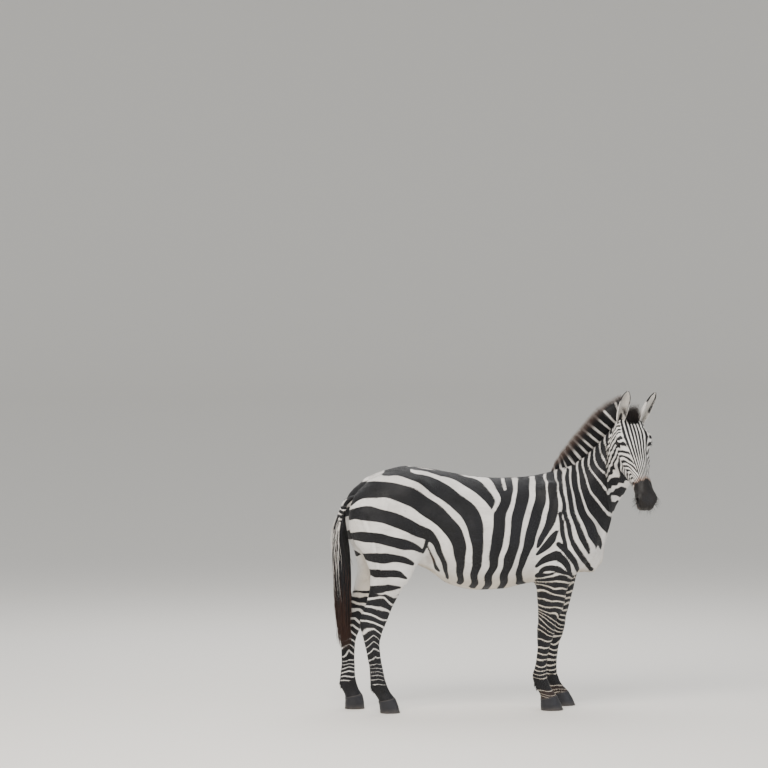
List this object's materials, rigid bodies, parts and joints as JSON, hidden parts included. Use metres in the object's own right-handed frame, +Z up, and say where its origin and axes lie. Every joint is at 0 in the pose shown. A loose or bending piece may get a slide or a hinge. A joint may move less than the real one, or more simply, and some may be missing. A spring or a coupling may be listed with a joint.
{
  "type": "zebra figure",
  "caption": "Life-size standing plains zebra with striped coat, upright mane and tufted tail, its head turned to its right.",
  "frame": {"origin": "on the floor under the middle of the animal's overall box", "axes": "+X towards the animal's chest, +Y to its left, +Z up"},
  "size_m": [1.7626, 0.7236, 1.7577],
  "materials": {
    "striped_coat": "short flat hair, off-white with near-black stripes",
    "mane_hair": "stiff upright hair, striped, brown at the tips",
    "tail_hair": "long coarse hair, near-black",
    "hoof_horn": "dull dark horn",
    "eye": "wet, very dark brown"
  },
  "bodies": {
    "root": {"trunk": "striped_coat", "neck": "striped_coat", "head": "striped_coat", "ear_left": "striped_coat", "ear_right": "striped_coat", "eye_left": "eye", "eye_right": "eye", "mane": "mane_hair", "forelock": "mane_hair", "tail_dock": "striped_coat", "tail_tuft": "tail_hair", "foreleg_left_upper": "striped_coat", "foreleg_left_cannon": "striped_coat", "foreleg_left_hoof": "hoof_horn", "foreleg_right_upper": "striped_coat", "foreleg_right_cannon": "striped_coat", "foreleg_right_hoof": "hoof_horn", "hindleg_left_upper": "striped_coat", "hindleg_left_cannon": "striped_coat", "hindleg_left_hoof": "hoof_horn", "hindleg_right_upper": "striped_coat", "hindleg_right_cannon": "striped_coat", "hindleg_right_hoof": "hoof_horn"}
  },
  "joints": []
}
